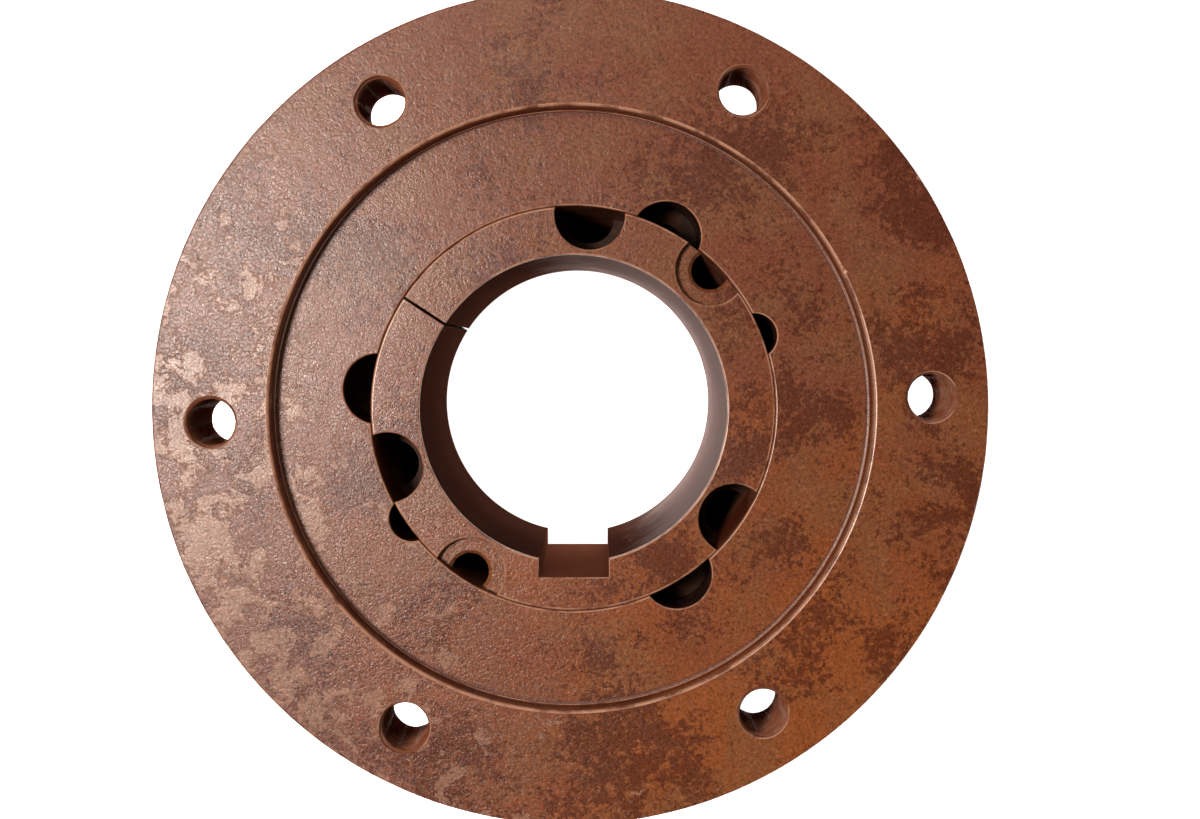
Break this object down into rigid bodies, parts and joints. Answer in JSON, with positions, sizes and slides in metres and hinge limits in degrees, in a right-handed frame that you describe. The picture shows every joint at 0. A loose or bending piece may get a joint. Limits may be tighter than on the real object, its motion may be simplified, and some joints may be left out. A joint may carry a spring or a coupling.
{
  "type": "flanged hub with taper bush",
  "caption": "Thick round cast-iron flange hub with a recessed face, tapped rim holes and a rear barrel, holding a split, keyed taper bush for a shaft.",
  "frame": {"origin": "on the shaft axis, in the plane of the hub's rear face", "axes": "+Z along the shaft axis, from the rear face to the recessed front; +X across, through no feature; the keyway points to -Y"},
  "size_m": [0.297, 0.297, 0.111],
  "materials": {
    "hub_iron": "machined cast iron with a mottled brown oxide skin, oiled and half glossy",
    "bush_iron": "machined cast iron with an even brown oxide skin and a grey-brown bore"
  },
  "bodies": {
    "hub": {"flange_hub": "hub_iron"},
    "bush": {"taper_bush": "bush_iron"}
  },
  "joints": [
    {"name": "bush_slide", "type": "slide", "parent": "hub", "child": "bush", "axis": [0, 0, 1], "range_m": [0, 0.115]}
  ]
}
